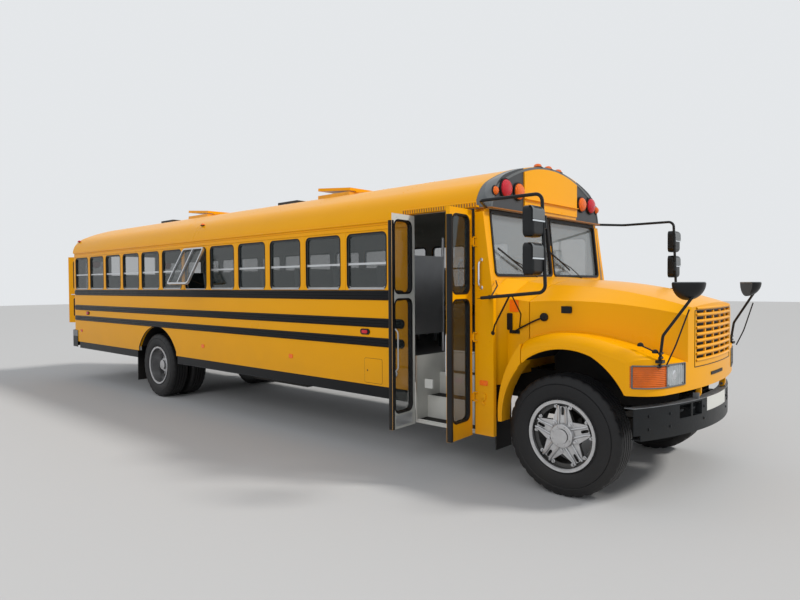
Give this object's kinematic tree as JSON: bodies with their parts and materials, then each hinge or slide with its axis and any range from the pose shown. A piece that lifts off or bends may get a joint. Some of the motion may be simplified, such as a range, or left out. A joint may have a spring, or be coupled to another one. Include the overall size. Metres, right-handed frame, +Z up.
{
  "type": "school bus",
  "caption": "Yellow conventional-nose school bus with open folding entrance door, open rear escape door, tilting hood, twin rear wheels and steered front wheels.",
  "frame": {"origin": "on the ground under the middle of the whole bus with its doors open, on the body's centre plane", "axes": "+X forward, +Y to the bus's left, +Z up from the ground"},
  "size_m": [12.1786, 3.344, 3.0706],
  "materials": {
    "body_yellow": "glossy school bus yellow enamel",
    "black_paint": "black enamel",
    "chassis_black": "chassis black paint with road dust",
    "white_panel": "white enamel",
    "aluminium": "satin aluminium",
    "wheel_silver": "silver painted cast steel",
    "glass": "tinted glass",
    "tyre": "black rubber",
    "rubber": "black rubber",
    "seat_vinyl": "dark grey-green vinyl",
    "dash_plastic": "dark grey plastic",
    "cast_iron": "bare casting",
    "mirror_black": "black plastic and tube",
    "lamp_red": "red lens",
    "lamp_amber": "amber lens",
    "lamp_clear": "clear lens over a chrome reflector",
    "floor_rubber": "ribbed rubber floor on plywood"
  },
  "bodies": {
    "root": {"frame_rails": "chassis_black", "floor_deck": "floor_rubber", "side_wall_right": "body_yellow", "side_wall_left": "body_yellow", "front_post": "body_yellow", "rear_wall": "body_yellow", "roof_panel": "body_yellow", "roof_rear_cap": "body_yellow", "front_header": "black_paint", "cowl": "body_yellow", "windshield": "glass", "window_frames": "aluminium", "window_glass": "glass", "pushout_window": "aluminium", "rub_rails": "black_paint", "step_well": "white_panel", "bench_seats": "seat_vinyl", "seat_stands": "aluminium", "driver_seat": "seat_vinyl", "dashboard": "dash_plastic", "engine_block": "cast_iron", "radiator": "aluminium", "fuel_tank": "chassis_black", "exhaust": "aluminium", "front_axle": "chassis_black", "rear_axle": "chassis_black", "mud_flaps": "rubber", "front_bumper": "black_paint", "rear_bumper": "black_paint", "red_lamps": "lamp_red", "amber_lamps": "lamp_amber", "roof_vents": "black_paint", "side_mirrors": "mirror_black", "grab_rails": "aluminium"},
    "knuckle_l": {"knuckle_left": "chassis_black"},
    "knuckle_r": {"knuckle_right": "chassis_black"},
    "track_rod": {"tie_rod": "chassis_black"},
    "wheel_fl": {"wheel_front_left": "wheel_silver", "tyre_front_left": "tyre"},
    "wheel_fr": {"wheel_front_right": "wheel_silver", "tyre_front_right": "tyre"},
    "wheels_rl": {"wheel_rear_left": "wheel_silver", "tyres_rear_left": "tyre"},
    "wheels_rr": {"wheel_rear_right": "wheel_silver", "tyres_rear_right": "tyre"},
    "hood": {"hood_shell": "body_yellow", "grille": "body_yellow", "headlamps": "lamp_clear", "turn_lamps": "lamp_amber", "hood_mirrors": "mirror_black"},
    "entrance_rear": {"door_leaf_rear": "body_yellow", "door_glass_rear": "glass"},
    "entrance_front": {"door_leaf_front": "body_yellow", "door_glass_front": "glass"},
    "rear_door": {"escape_door": "body_yellow", "escape_glass": "glass"},
    "roof_hatch_rear": {"hatch_rear": "body_yellow"},
    "roof_hatch_front": {"hatch_front": "body_yellow"},
    "stop_sign_arm": {"stop_arm": "lamp_red"}
  },
  "joints": [
    {"name": "steer_left", "type": "hinge", "parent": "root", "child": "knuckle_l", "pos_m": [5.05736, 0.838, 0.503], "axis": [0, 0, 1], "range_deg": [-35, 35]},
    {"name": "steer_right", "type": "hinge", "parent": "root", "child": "knuckle_r", "pos_m": [5.05736, -0.838, 0.503], "axis": [0, 0, 1], "range_deg": [-35, 35]},
    {"name": "track_rod_swing", "type": "hinge", "parent": "knuckle_l", "child": "track_rod", "pos_m": [4.82736, 0.813, 0.373], "axis": [0, 0, 1], "range_deg": [-35, 35]},
    {"name": "wheel_front_left_spin", "type": "hinge", "parent": "knuckle_l", "child": "wheel_fl", "pos_m": [5.05736, 0.995, 0.503], "axis": [0, 1, 0], "continuous": true},
    {"name": "wheel_front_right_spin", "type": "hinge", "parent": "knuckle_r", "child": "wheel_fr", "pos_m": [5.05736, -0.995, 0.503], "axis": [0, 1, 0], "continuous": true},
    {"name": "wheels_rear_left_spin", "type": "hinge", "parent": "root", "child": "wheels_rl", "pos_m": [-1.95264, 0.995, 0.503], "axis": [0, 1, 0], "continuous": true},
    {"name": "wheels_rear_right_spin", "type": "hinge", "parent": "root", "child": "wheels_rr", "pos_m": [-1.95264, -0.995, 0.503], "axis": [0, 1, 0], "continuous": true},
    {"name": "hood_tilt", "type": "hinge", "parent": "root", "child": "hood", "pos_m": [5.88736, 0, 0.845], "axis": [0, 1, 0], "range_deg": [0, 60]},
    {"name": "entrance_rear_leaf", "type": "hinge", "parent": "root", "child": "entrance_rear", "pos_m": [3.48236, -1.19, 1.285], "axis": [0, 0, 1], "range_deg": [0, 85]},
    {"name": "entrance_front_leaf", "type": "hinge", "parent": "root", "child": "entrance_front", "pos_m": [4.23236, -1.19, 1.285], "axis": [0, 0, 1], "range_deg": [-94, 0]},
    {"name": "rear_door_swing", "type": "hinge", "parent": "root", "child": "rear_door", "pos_m": [-5.29764, -0.47, 1.695], "axis": [0, 0, 1], "range_deg": [-125, 0]},
    {"name": "hatch_rear_lift", "type": "hinge", "parent": "root", "child": "roof_hatch_rear", "pos_m": [-1.77264, 0, 2.97], "axis": [0, 1, 0], "range_deg": [-5, 65]},
    {"name": "hatch_front_lift", "type": "hinge", "parent": "root", "child": "roof_hatch_front", "pos_m": [1.68736, 0, 2.97], "axis": [0, 1, 0], "range_deg": [-5, 65]},
    {"name": "stop_arm_swing", "type": "hinge", "parent": "root", "child": "stop_sign_arm", "pos_m": [3.48336, 1.225, 1.51], "axis": [0, 0, 1], "range_deg": [-90, 0]}
  ],
  "couplings": [
    {"joint": "steer_right", "follows": "steer_left", "ratio": 1},
    {"joint": "track_rod_swing", "follows": "steer_left", "ratio": -1},
    {"joint": "entrance_front_leaf", "follows": "entrance_rear_leaf", "ratio": -1.1059}
  ]
}
